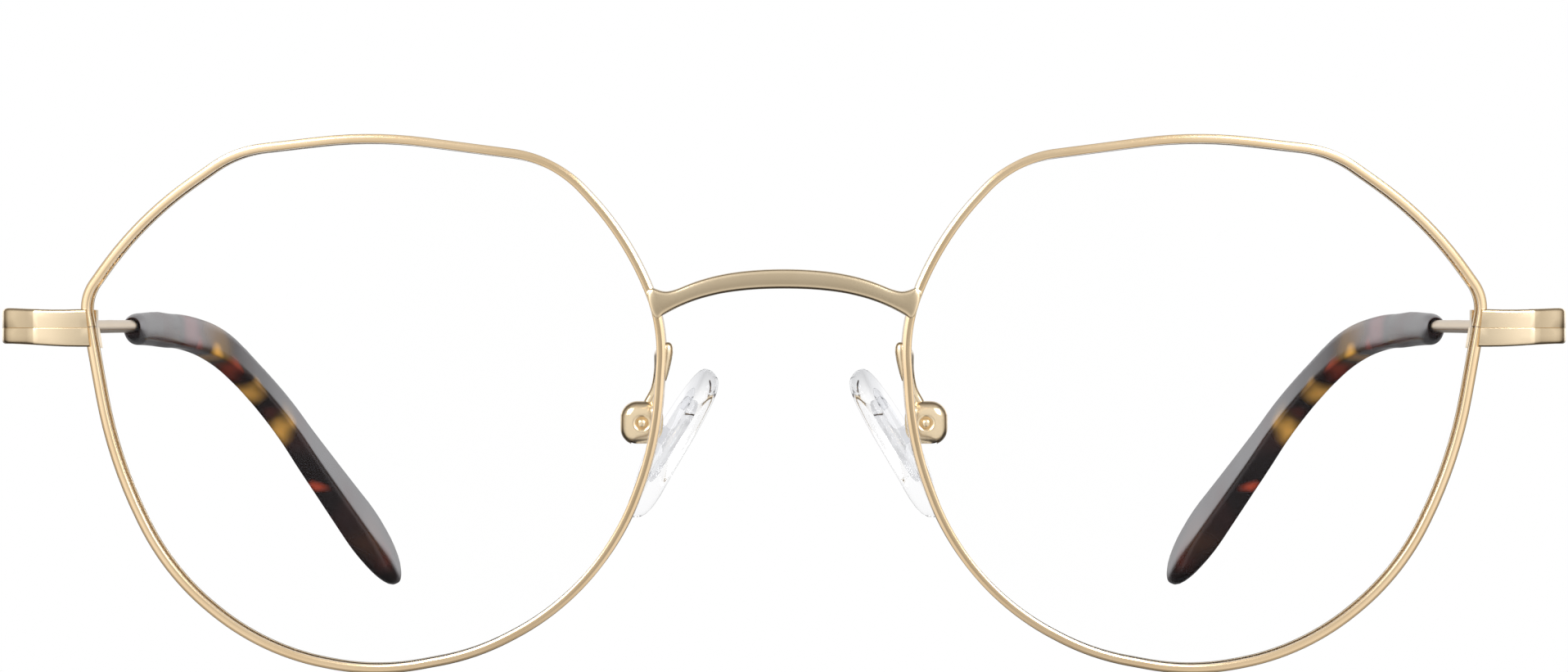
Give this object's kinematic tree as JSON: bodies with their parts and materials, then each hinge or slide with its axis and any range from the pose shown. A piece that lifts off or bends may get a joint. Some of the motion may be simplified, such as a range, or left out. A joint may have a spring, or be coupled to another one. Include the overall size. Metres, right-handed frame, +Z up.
{
  "type": "eyeglasses",
  "caption": "Full-rim metal eyeglasses with large rounded polygonal lenses, an arched bridge, rocking silicone nose pads, folding wire temples and mottled acetate tips.",
  "frame": {"origin": "on the surface that it stands on, under the middle of its bounding box", "axes": "+X is the wearer's left, +Y runs back from the lenses along the temples, +Z is up"},
  "size_m": [0.136, 0.1429, 0.0461],
  "materials": {
    "frame_metal": "pale gold plating, satin on the faces and brighter on the edges",
    "screw_metal": "polished pale gold plating",
    "lens_clear": "clear organic lens, polished, with a faint coating",
    "acetate": "polished acetate, near black brown with amber and red mottling",
    "pad_core": "milky clear hard plastic",
    "silicone": "clear soft silicone, smooth"
  },
  "bodies": {
    "front": {"rim_left": "frame_metal", "rim_right": "frame_metal", "lens_left": "lens_clear", "lens_right": "lens_clear", "bridge": "frame_metal", "endpiece_upper_left": "frame_metal", "endpiece_upper_right": "frame_metal", "endpiece_lower_left": "frame_metal", "endpiece_lower_right": "frame_metal", "lock_screw_left": "screw_metal", "lock_screw_right": "screw_metal", "hinge_screw_left": "screw_metal", "hinge_screw_right": "screw_metal", "pad_arm_left": "frame_metal", "pad_arm_right": "frame_metal", "pad_screw_left": "screw_metal", "pad_screw_right": "screw_metal"},
    "temple_left": {"temple_hinge_left": "frame_metal", "temple_wire_left": "frame_metal", "temple_tip_left": "acetate"},
    "pad_left": {"pad_core_left": "pad_core", "nose_pad_left": "silicone"},
    "temple_right": {"temple_hinge_right": "frame_metal", "temple_wire_right": "frame_metal", "temple_tip_right": "acetate"},
    "pad_right": {"pad_core_right": "pad_core", "nose_pad_right": "silicone"}
  },
  "joints": [
    {"name": "temple_left_fold", "type": "hinge", "parent": "front", "child": "temple_left", "pos_m": [0.06574, -0.05757, 0.02962], "axis": [0, 0, 1], "range_deg": [0, 67]},
    {"name": "temple_right_fold", "type": "hinge", "parent": "front", "child": "temple_right", "pos_m": [-0.06574, -0.05757, 0.02962], "axis": [0, 0, -1], "range_deg": [0, 82]},
    {"name": "pad_left_rock", "type": "hinge", "parent": "front", "child": "pad_left", "pos_m": [0.01224, -0.06097, 0.02142], "axis": [0, 1, 0], "range_deg": [-8, 8]},
    {"name": "pad_right_rock", "type": "hinge", "parent": "front", "child": "pad_right", "pos_m": [-0.01224, -0.06097, 0.02142], "axis": [0, -1, 0], "range_deg": [-8, 8]}
  ]
}
